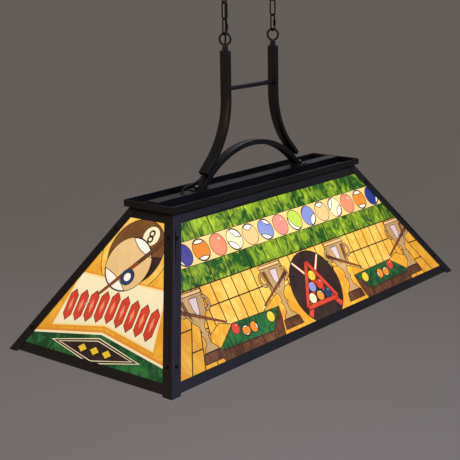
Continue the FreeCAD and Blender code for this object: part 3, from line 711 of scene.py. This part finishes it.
def ball_row(art):
    """The row of balls between the green bands, from left to right.

    Each has its caps as (direction, half angle, depth); two caps leave a stripe between them.
    """
    top, foot = -90, 90
    row = [("violet", [(140, 38, 0.1)]), ("orange", [(top, 48, 0.12), (foot, 48, 0.12)]), ("salmon", []),
           ("cream", [(-55, 52, 0.3), (125, 52, 0.3)]), ("peach", [(top, 42, 0.34)]),
           ("lavender", [(-60, 40, 0.2), (110, 50, 0.16)]), ("rose", []), ("lime", [(135, 76, -0.3)]),
           ("lavender", [(45, 50, 0.3), (-130, 36, -0.1)]), ("peach", [(top, 42, 0.3)]),
           ("cream", [(45, 52, 0.3), (-140, 50, 0.2)]), ("salmon", []),
           ("orange", [(top, 48, 0.12), (foot, 48, 0.12)]), ("blue", [(35, 40, 0.15)])]
    shapes = []
    for i, (colour, caps) in enumerate(row):
        centre = ((i - (len(row) - 1) / 2) * art.ball_pitch, 92.2)
        lay_ball(shapes, art, centre, art.ball, colour, caps, 1)
    return shapes


def table_scene(art, way):
    """Pool table, balls, cues and two cups on one half; way is 1 for right and -1 for left."""
    shapes = []

    def put(colour, outline, layer, line):
        shapes.append((colour, [(way * a, d) for a, d in outline], layer, line))

    put("felt", [(315, 261), (152, 265), (199, 312), (386, 307)], 3, "fine")
    fronts = [(199, 312), (240, 311), (286, 309.5), (340, 308), (386, 307)]
    feet = [(206, 340), (245, 340), (288, 340), (336, 340), (374, 340)]
    for near, far, low, high in zip(fronts, fronts[1:], feet, feet[1:]):
        put("walnut", [near, far, high, low], 3, "fine")
    put("walnut", [(152, 265), (156, 290), (172, 340), (206, 340), (199, 312)], 3, "fine")
    rack = [("yellow", (192, 280), []), ("orange", (255, 286), [(180 if way > 0 else 0, 55, 0.1)]),
            ("orange", (282, 287), [(90, 50, 0.1), (-90, 50, 0.1)]), ("red", (311, 275), [])]
    for colour, (a, d), caps in rack:
        lay_ball(shapes, art, (way * a, d), 13.4, colour, caps, 4)
    for centre in (402, 128):
        for colour, outline, layer, line in cup(centre):
            put(colour, outline, layer, line)
    for butt, tip in (((448, 200), (320, 259)), ((80, 198), (204, 258))):
        lay_cue(shapes, (way * butt[0], butt[1]), (way * tip[0], tip[1]), 8)
    return shapes


def cup(centre):
    """A prize cup with two handles on a stepped foot, standing on the floor."""
    half = [(37, 174), (38, 190), (32, 214), (21, 232), (9, 244), (7.5, 256), (14, 261), (7.5, 268),
            (8.5, 282), (19, 292), (25, 300)]
    body = [(centre + a, d) for a, d in half] + [(centre - a, d) for a, d in reversed(half)]
    rim = [(centre - 40, 168), (centre + 40, 168), (centre + 38, 177), (centre - 38, 177)]
    foot = [(centre - 29, 300), (centre + 29, 300), (centre + 34, 322), (centre - 34, 322)]
    gleam = [(centre - 20, 182), (centre + 6, 182), (centre + 5, 206), (centre - 3, 230),
             (centre - 13, 214)]
    shade = [(centre + 22, 182), (centre + 34, 182), (centre + 28, 212), (centre + 15, 232)]
    shapes = [("tan", body, 5, "fine"), ("fawn", rim, 6, "fine"), ("lilac", gleam, 6, "fine"),
              ("brown", shade, 6, ""), ("walnut", foot, 5, "fine")]
    for way in (-1, 1):
        turns = [math.radians(-100 + 25 * i) for i in range(9)]
        hub = (centre + way * 34, 200)
        outer = [(hub[0] + way * 19 * math.cos(t), hub[1] + 19 * math.sin(t)) for t in turns]
        inner = [(hub[0] + way * 10.5 * math.cos(t), hub[1] + 10.5 * math.sin(t))
                 for t in reversed(turns)]
        shapes.append(("tan", outer + inner, 5, "fine"))
    return shapes


def centre_disc(art):
    """Dark roundel with a racked set of balls over crossed cues."""
    shapes = [("ebony", circle((0.0, 257.0), 90.0, 64), 3, "fine")]
    for way in (-1, 1):
        butt, tip = (way * 64, 318), (-way * 50, 186)
        shapes.append(("red", stick(butt, tip, 8.5, 4.5), 4, "fine"))
        shapes.append(("cream", stick(along_stick(butt, tip, 0.62), tip, 2.6, 2.0), 5, ""))
    corners = [(0, 194), (60, 296), (-60, 296)]
    for a, b in zip(corners, corners[1:] + corners[:1]):
        shapes.append(("red", stick(a, b, 6.4, 6.4), 6, "fine"))
    colours = ["yellow", "lavender", "red", "cream", "orange", "navy"]
    spots = [(0, 229), (-15, 254), (15, 254), (-30, 279), (0, 279), (30, 279)]
    for colour, spot in zip(colours, spots):
        caps = [(-60, 45, 0.15)] if colour in ("lavender", "orange") else []
        lay_ball(shapes, art, spot, 13.6, colour, caps, 7)
    return shapes


def end_art(art):
    """Shapes of an end of the shade."""
    n, dark_ball, badge = art.round_points, (2, 99), (-2, 325.5)
    shapes = [("deep_amber", [(-80, 10), (80, 10), (260, 370), (-260, 370)], 0, "")]
    shapes.append(("amber_plank", circle(dark_ball, 94.0, 60), 1, "fine"))
    shapes.append(("brown", circle(dark_ball, 77.0, 60), 2, "fine"))
    shapes.append(("ebony", ball_cap(dark_ball, 77.0, 60, 60, 20.0), 3, "fine"))
    shapes.append(("cream", circle((27, 58), 24.0, n), 4, "fine"))
    for d in (52.0, 65.0):          # the figure on the ball is two rings
        shapes.append(("ebony", circle((27, d), 8.6, 24), 5, ""))
        shapes.append(("cream", circle((27, d), 4.2, 24), 6, ""))
    # plaque with an orange border, V-shaped at its foot
    for grow, colour, layer in ((7.0, "orange_line", 4), (4.0, "warm_ground", 5), (0.0, "cream", 6)):
        top, foot = 170 - grow, 266 + grow
        plaque = [(-122 - grow, top), (122 + grow, top), (147 + grow, 292 + grow), (0, foot),
                  (-147 - grow, 292 + grow)]
        shapes.append((colour, plaque, layer, ""))
    # a large striped ball and a small numbered one lie over the dark ball
    lay_ball(shapes, art, (-6, 128), 63.0, "fawn", [(-62, 40, 0.12), (118, 46, 0.1)], 7)
    lay_cue(shapes, (70, 62), (-80, 236), 9, 1.4)
    shapes.append(("navy", circle((6, 156), 19.0, n), 11, "fine"))
    shapes.append(("white", circle((6, 156), 11.0, 28), 12, "fine"))
    # nine tall sights, as on a table's rail
    for k in range(-4, 5):
        a = k * 30.0
        centre = (a, 228.0 + 0.12 * abs(a))
        outline = [(centre[0] + x, centre[1] + y) for x, y in (
            (0, -37), (12.5, -23), (12.5, 23), (0, 37), (-12.5, 23), (-12.5, -23))]
        shapes.append(("red", outline, 10, "fine"))
        shapes.append(("salmon", lozenge(centre, 4.5, 17.0), 13, ""))
    # V-shaped edge lines, green ground and the lozenge badge
    drop = 42.0
    for first, last, colour in ((279, 284, "orange_line"), (284, 289, "cream")):
        edge = [(-250, first + drop), (0, first), (250, first + drop),
                (250, last + drop), (0, last), (-250, last + drop)]
        shapes.append((colour, edge, 6, ""))
    ground = [(-250, 289 + drop), (0, 289), (250, 289 + drop), (250, 370), (-250, 370)]
    shapes.append(("felt", ground, 6, ""))
    for colour, half_width, half_height, layer in (
            ("ebony", 136, 30.5, 7), ("cream", 132, 29.0, 8), ("ebony", 125, 26.8, 9),
            ("cream", 111, 23.0, 10), ("ebony", 105, 21.2, 11)):
        shapes.append((colour, lozenge(badge, half_width, half_height), layer, ""))
    for a in (-36, 0, 36):
        shapes.append(("yellow", lozenge((badge[0] + a, badge[1]), 13, 9), 12, ""))
    return shapes


# ---- Operators -----------------------------------------------------------------
class LAMP_OT_finish_metal(bpy.types.Operator):
    """Powder coat, black screws, chain enamel, zinc and plastics on the frame's own parts"""
    bl_idname = "lamp.finish_metal"
    bl_label = "Finish the metalwork"

    def execute(self, context):
        finish = context.scene.lamp_finish
        coat = powder_coat(finish)
        enamel = bare_metal("black_japanned_steel", "#0c0c0e", "#1c1b1d", 0.42, 1.4)
        oxide = bare_metal("black_oxide_steel", "#151516", "#2a2a2c", 0.38, 0.8)
        zinc = bare_metal("zinc_plated_steel", "#8f9296", "#bcbfc2", 0.34, 1.2)
        nylon = moulded("moulded_black_nylon", "#0e0e10", "#18181a", 0.5, 0.5)
        phenolic = moulded("moulded_phenolic", "#121010", "#241e1a", 0.32, 0.9)
        pvc = moulded("extruded_pvc_cord", "#0b0b0d", "#17171a", 0.46, 0.7)
        orange = moulded("moulded_orange_thermoplastic", "#c4560c", "#dc7420", 0.4, 0.6)
        tin = bare_metal("rolled_aluminium", "#b8b8b4", "#d8d8d4", 0.3, 1.0)
        finishes = {
            "ceiling_crossbar": zinc, "canopy_screws": zinc, "canopy_loop_nuts": zinc, "foot_bolts": zinc,
            "post_nuts": zinc, "panel_clips": zinc, "canopy_cap_nuts": oxide, "foot_nuts": oxide,
            "crown_screws": oxide, "post_screws": oxide, "canopy_bushing": nylon, "bar_bushing": nylon,
            "wire_connectors": orange, "bar_wires": pvc, "lamp_holders": phenolic, "bulb_caps": tin}
        panels = {"panel_" + side for side in LEVELS}      # they are printed later
        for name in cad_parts:
            if name in panels or name == "bulb_globes":
                continue
            chosen = enamel if "link" in name else pvc if name.startswith("cord_") else coat
            finish_node(name, finishes.get(name, chosen))
        finish_node("bulb_globes", frosted_glass(finish))
        return {"FINISHED"}


class LAMP_OT_soften_edges(bpy.types.Operator):
    """Rounds the sharp edges of the frame's own parts, as their coating does"""
    bl_idname = "lamp.soften_edges"
    bl_label = "Soften the edges"

    def execute(self, context):
        # node and width of the rounding in mm
        widths = {"crown_rim": 0.6, "lamp_bar": 0.7, "arm_left": 0.9, "arm_right": 0.9, "arm_cap_left": 0.8,
                  "arm_cap_right": 0.8, "arch_bar": 0.8, "arch_feet": 0.6, "arch_spacers": 0.5,
                  "foot_bolts": 0.5, "foot_nuts": 0.6, "post_nuts": 0.4, "panel_clips": 0.25,
                  "canopy": 0.7, "ceiling_crossbar": 0.5, "canopy_loop_nuts": 0.5, "lamp_holders": 0.7}
        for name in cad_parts:
            if name.startswith("corner_post_"):
                widths[name] = 0.5
            elif name.startswith("side_frame_"):
                widths[name] = 0.35
        for name, width in widths.items():
            soften(name, width)
        return {"FINISHED"}


# Route of the power cord, in metres: from the canopy down the left chain into the arm, and
# from the arm's lower end over to the bushing in the bar.
CORD_ROUTE = [Vector(p) for p in (
    (-0.0740, 0.0000, -0.0200), (-0.0740, -0.0008, -0.0350), (-0.0770, -0.0036, -0.0485),
    (-0.0832, -0.0058, -0.0615), (-0.0880, -0.0052, -0.0785), (-0.0952, -0.0056, -0.0960),
    (-0.0890, -0.0015, -0.1136), (-0.0830, -0.0056, -0.1312), (-0.0885, -0.0062, -0.1490),
    (-0.0946, -0.0068, -0.1666), (-0.0948, -0.0076, -0.1842), (-0.0940, -0.0068, -0.2020),
    (-0.0918, -0.0058, -0.2195), (-0.0939, -0.0052, -0.2362), (-0.0899, -0.0022, -0.2478),
    (-0.0890, 0.0000, -0.2595), (-0.0890, 0.0000, -0.2770))]
TAIL_ROUTE = [Vector(p) for p in (
    (-0.1652, 0.0, -0.5347), (-0.1810, 0.0, -0.5505), (-0.1970, 0.0, -0.5566),
    (-0.2120, 0.0, -0.5599), (-0.2260, 0.0, -0.5606), (-0.2365, 0.0, -0.5619),
    (-0.2433, 0.0, -0.5656), (-0.2466, 0.0, -0.5718), (-0.2473, 0.0, -0.5800), (-0.2474, 0.0, -0.5885))]
CORD_RADIUS = 0.00225               # m


class LAMP_OT_run_cord(bpy.types.Operator):
    """Power cord, in one stretch for each joint that it passes, and its visible tail"""
    bl_idname = "lamp.run_cord"
    bl_label = "Run the power cord"

    def execute(self, context):
        pvc = bpy.data.materials["extruded_pvc_cord"]
        # name, first and last whole point, bodies, heights between which it bends, what it stands for
        stretches = [
            ("cord_top", 0, 4, "ceiling", "top_link_left", (-0.052, -0.066), ["cord_at_canopy"]),
            ("cord_upper", 5, 8, "top_link_left", "chain_left", (-0.0885, -0.100), ["cord_at_top_link"]),
            ("cord_middle", 9, 11, "chain_left", "quick_link_left", (-0.197, -0.2095),
             ["cord_along_chain"]),
            ("cord_lower", 12, 16, "quick_link_left", "lamp", (-0.232, -0.2455),
             ["cord_at_quick_link", "cord_at_ring"])]
        for name, first, last, above, below, (start, end), nodes in stretches:
            points = CORD_ROUTE[first:last + 1]
            # the curve touches the middle of each leg, so neighbours meet there
            if first:
                points = [(CORD_ROUTE[first - 1] + CORD_ROUTE[first]) / 2] + points
            if last < len(CORD_ROUTE) - 1:
                points = points + [(CORD_ROUTE[last] + CORD_ROUTE[last + 1]) / 2]
            tube, path = tube_along(name, points, CORD_RADIUS)
            self.declare(tube, path, pvc, nodes)
            near = min(path, key=lambda p: abs(p.z - start))
            far = min(path, key=lambda p: abs(p.z - end))
            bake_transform(tube)
        tail, path = tube_along("cord_tail", TAIL_ROUTE, CORD_RADIUS)
        self.declare(tail, path, pvc, ["cord_to_bar"])
        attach(tail, "lamp")
        return {"FINISHED"}

    def declare(self, tube, path, material, nodes):
        """Gives one stretch its finish and hides the nodes that it stands for; its length is worked out but
        not used.
        """
        tube.data.materials.append(material)
        length = sum((b - a).length for a, b in zip(path, path[1:]))
        tuple(path[0])
        [tuple(p) for p in path]
        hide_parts(*nodes)


class LAMP_OT_fit_screws(bpy.types.Operator):
    """Pan head screws with cross recesses, on the corner posts and in the crown"""
    bl_idname = "lamp.fit_screws"
    bl_label = "Fit the screws"

    def execute(self, context):
        oxide = bpy.data.materials["black_oxide_steel"]
        sides = [shade_side(name)["out"] for name in LEVELS]
        for name, outs in (("post_screws", sides), ("crown_screws", [UP])):
            places, reach = [], 0.0
            for i, points in enumerate(islands(name)):
                out = max(outs, key=lambda way: self.slimness(points, way))
                along = [p.dot(out) for p in points]
                centre = middle_of(points)
                reach = (max(along) - min(along)) / MM
                seat = centre + out * (max(along) - centre.dot(out) - SCREW_HEAD * MM)
                places.append((seat, out, 37.0 * i))        # each recess stands at its own angle
            tip = SCREW_HEAD - reach
            shank = thread(2.0, 0.28, 0.7, tip, -0.1)
            head = [(3.5, 0.0), (3.8, 0.25), (3.8, 0.9), (3.55, 1.35), (3.0, 1.75), (2.2, 2.05),
                    (1.2, 2.18), (0, SCREW_HEAD)]
            screw = turned("screw", [(0, tip)] + shank + head)
            for recess in ((4.4, 0.85, 1.3), (0.85, 4.4, 1.3)):
                cut_box(screw, recess, (0, 0, 1.95))
            screws = copies(screw, name + "_cross_recess", places)
            screws.data.materials.append(oxide)
            smooth(screws, 32)
            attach(screws, "lamp")
            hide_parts(name)
        return {"FINISHED"}

    def slimness(self, points, way):
        """Length along way over width across it."""
        along = [p.dot(way) for p in points]
        centre = middle_of(points)
        across = max((p - centre - way * (p - centre).dot(way)).length for p in points)
        return (max(along) - min(along)) / across


class LAMP_OT_fit_sleeves(bpy.types.Operator):
    """Six-sided screw sleeves of the quick links"""
    bl_idname = "lamp.fit_sleeves"
    bl_label = "Fit the link sleeves"

    def execute(self, context):
        enamel = bpy.data.materials["black_japanned_steel"]
        for side in ("left", "right"):
            low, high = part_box("link_sleeve_" + side)
            tall, radius = (high.z - low.z) / MM, (high.x - low.x) / 2 / MM
            bore = radius - 1.5
            profile = [(bore, 0.3), (radius * 0.86, 0.0), (radius, 0.9), (radius, 0.3 * tall),
                       (radius * 0.93, 0.34 * tall), (radius * 0.93, 0.66 * tall), (radius, 0.7 * tall),
                       (radius, tall - 0.9), (radius * 0.86, tall), (bore, tall - 0.3), (bore, 0.3)]
            sleeve = turned("sleeve_nut_" + side, profile, 6)
            sleeve.data.transform(Matrix.Translation(((low.x + high.x) / 2, (low.y + high.y) / 2, low.z)))
            sleeve.data.materials.append(enamel)
            edge = sleeve.modifiers.new("edge", "BEVEL")
            edge.width, edge.segments = 0.0002, 2
            apply_modifiers(sleeve)
            smooth(sleeve, 40)
            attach(sleeve, "link_sleeve_" + side)
            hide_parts("link_sleeve_" + side)
        return {"FINISHED"}


class LAMP_OT_lay_welds(bpy.types.Operator):
    """Weld beads where the rod meets the arms, and along the ends of the arch"""
    bl_idname = "lamp.lay_welds"
    bl_label = "Lay the weld beads"

    def execute(self, context):
        coat = bpy.data.materials["satin_black_powder_coat"]
        beads = []
        low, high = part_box("cross_rod")
        radius = (high.z - low.z) / 2 + 0.0004
        for x in (low.x, high.x):
            turns = [math.pi * i / 4 for i in range(8)]
            ring = [(x, radius * math.cos(t), (low.z + high.z) / 2 + radius * math.sin(t)) for t in turns]
            beads.append(weld_bead("rod_bead", ring, ROD_BEAD, True))
        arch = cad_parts["arch_bar"].data.vertices
        foot_z = min(v.co.z for v in arch)
        ends = [v.co for v in arch if v.co.z < foot_z + 1e-5]
        half = max(p.y for p in ends)
        for way in (-1, 1):
            reaches = [p.x for p in ends if p.x * way > 0]
            for x in (min(reaches), max(reaches)):
                line = [(x, -half + half * i / 3, foot_z + 0.0005) for i in range(7)]
                beads.append(weld_bead("foot_bead", line, FOOT_BEAD))
        welds = joined(beads, "weld_beads")
        welds.data.materials.clear()
        welds.data.materials.append(coat)
        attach(welds, "lamp")
        return {"FINISHED"}


class LAMP_OT_print_panels(bpy.types.Operator):
    """Printed art on the shade's four panels"""
    bl_idname = "lamp.print_panels"
    bl_label = "Print the panels"

    def execute(self, context):
        art, finish = context.scene.lamp_art, context.scene.lamp_finish
        made = {}

        def inks(name):
            if name not in made:
                made[name] = ink(name, finish)
            return made[name]

        long_bands = [(0.0, "#f3b23c"), (0.55, "#5c9020"), (0.70, "#f6cf7c"), (0.85, "#5c9020")]
        end_bands = [(0.0, "#2c7c44"), (0.14, "#f3b23c"), (0.30, "#f6e2ac"), (0.55, "#c0813c")]
        long_back = acrylic_back("printed_acrylic_long", long_bands, finish)
        end_back = acrylic_back("printed_acrylic_end", end_bands, finish)
        for name in LEVELS:
            side = shade_side(name)
            long_side = name in ("front", "back")
            finish_node("panel_" + name, long_back if long_side else end_back)
            shapes = long_art(art) if long_side else end_art(art)
            lines = [(art.lead, "lead")] if long_side else []
            lines += [(art.fine, "fine"), (0, "")]
            sheets = [printed_sheet(side, shapes, line, kind, inks) for line, kind in lines]
            printed = joined(sheets, "print_" + name)
            # the light carries the print through the sheet, so it shows reversed on the inside
            through = bpy.data.objects.new("print_inside_" + name, printed.data.copy())
            context.scene.collection.objects.link(through)
            printed.data.transform(plane_matrix(side))
            through.data.transform(plane_matrix(side, inside=True))
            through.data.flip_normals()
            for piece in (printed, through):
                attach(piece, "lamp")
        return {"FINISHED"}


class LAMP_OT_set_stage(bpy.types.Operator):
    """Pale floor, soft lights, world and camera"""
    bl_idname = "lamp.set_stage"
    bl_label = "Set the stage"

    def execute(self, context):
        stage = context.scene.lamp_stage
        floor_z = cad_box[0].z - stage.floor_drop
        deselect()
        bpy.ops.mesh.primitive_plane_add(size=FLOOR_SIZE, location=(0, 0, floor_z))
        floor = bpy.context.object
        floor.name = "floor"
        bpy.ops.object.transform_apply(location=True, rotation=True, scale=True)
        material, tree = new_material("matt_pale_floor")
        place = node(tree, "TexCoord").outputs["Object"]
        cloud = node(tree, "TexNoise", {"Vector": place, "Scale": 0.6, "Detail": 3.0})
        tone = node(tree, "Mix", {"Factor": cloud.outputs["Fac"], FROM: linear("#c6c2be"),
                                  TO: linear("#ccc8c4")}, data_type="RGBA")
        close(tree, node(tree, "BsdfPrincipled", {"Base Color": tone.outputs[TINT], "Roughness": 0.9}))
        floor.data.materials.append(material)

        world = bpy.data.worlds.new("pale_room")
        world.use_nodes = True
        background = world.node_tree.nodes["Background"]
        background.inputs["Color"].default_value = linear("#beb6b1")
        background.inputs["Strength"].default_value = 0.40
        context.scene.world = world

        middle = Vector((0, 0, -0.65))
        # place, diameter in metres, watts and colour: cool from the front, warm from the left end
        lights = [("key", (1.1, -3.2, 1.7), 2.0, 62.0, "#b9c6ff"),
                  ("fill", (-3.6, 0.3, 0.3), 2.2, 30.0, "#ffc69a"),
                  ("rim", (3.4, 1.6, 2.8), 2.4, 26.0, "#eef2ff")]
        for name, spot, size, watts, colour in lights:
            lamp = bpy.data.lights.new(name, "AREA")
            lamp.shape, lamp.size, lamp.energy = "DISK", size, watts
            lamp.color = linear(colour)[:3]
            holder = bpy.data.objects.new(name, lamp)
            holder.location = spot
            holder.rotation_euler = (middle - Vector(spot)).to_track_quat("-Z", "Y").to_euler()
            context.scene.collection.objects.link(holder)

        heading, down, roll = stage.heading, stage.look_down, stage.roll
        ahead = Vector((math.cos(heading) * math.cos(down), math.sin(heading) * math.cos(down),
                        -math.sin(down)))
        right = Vector((math.sin(heading), -math.cos(heading), 0))
        above = right.cross(ahead)
        tilted_right = right * math.cos(roll) + above * math.sin(roll)
        tilted_up = -right * math.sin(roll) + above * math.cos(roll)
        camera = bpy.data.cameras.new("camera")
        camera.lens, camera.sensor_width, camera.sensor_fit = stage.lens, 36.0, "HORIZONTAL"
        camera.clip_start, camera.clip_end = 0.05, 200.0
        viewer = bpy.data.objects.new("camera", camera)
        columns = (tilted_right, tilted_up, -ahead, Vector(stage.camera_place))
        viewer.matrix_world = Matrix([[c[i] for c in columns] for i in range(3)] + [[0, 0, 0, 1]])
        context.scene.collection.objects.link(viewer)
        context.scene.camera = viewer
        context.scene.view_settings.view_transform = "Standard"
        return {"FINISHED"}


class LAMP_PT_panel(bpy.types.Panel):
    """Buttons that make the lamp's looks, in order"""
    bl_idname = "LAMP_PT_panel"
    bl_label = "Pool table lamp"
    bl_space_type = "VIEW_3D"
    bl_region_type = "UI"
    bl_category = "Lamp"

    def draw(self, context):
        for step in STEPS:
            self.layout.operator(step.bl_idname)


STEPS = (LAMP_OT_finish_metal, LAMP_OT_soften_edges, LAMP_OT_print_panels, LAMP_OT_run_cord,
         LAMP_OT_fit_screws, LAMP_OT_fit_sleeves, LAMP_OT_lay_welds, LAMP_OT_set_stage)
SETTINGS = {"lamp_finish": LampFinish, "lamp_art": LampArt, "lamp_stage": LampStage}
CLASSES = tuple(SETTINGS.values()) + STEPS + (LAMP_PT_panel,)


def register():
    """Adds the settings, operators and panel."""
    for made in CLASSES:
        bpy.utils.register_class(made)
    for name, group in SETTINGS.items():
        setattr(bpy.types.Scene, name, PointerProperty(type=group))


def unregister():
    """Takes them away again."""
    for name in SETTINGS:
        delattr(bpy.types.Scene, name)
    for made in reversed(CLASSES):
        bpy.utils.unregister_class(made)


def main():
    """Runs all the steps in order."""
    register()
    for step in STEPS:
        family, action = step.bl_idname.split(".")
        getattr(getattr(bpy.ops, family), action)()


if __name__ == "__main__":
    main()
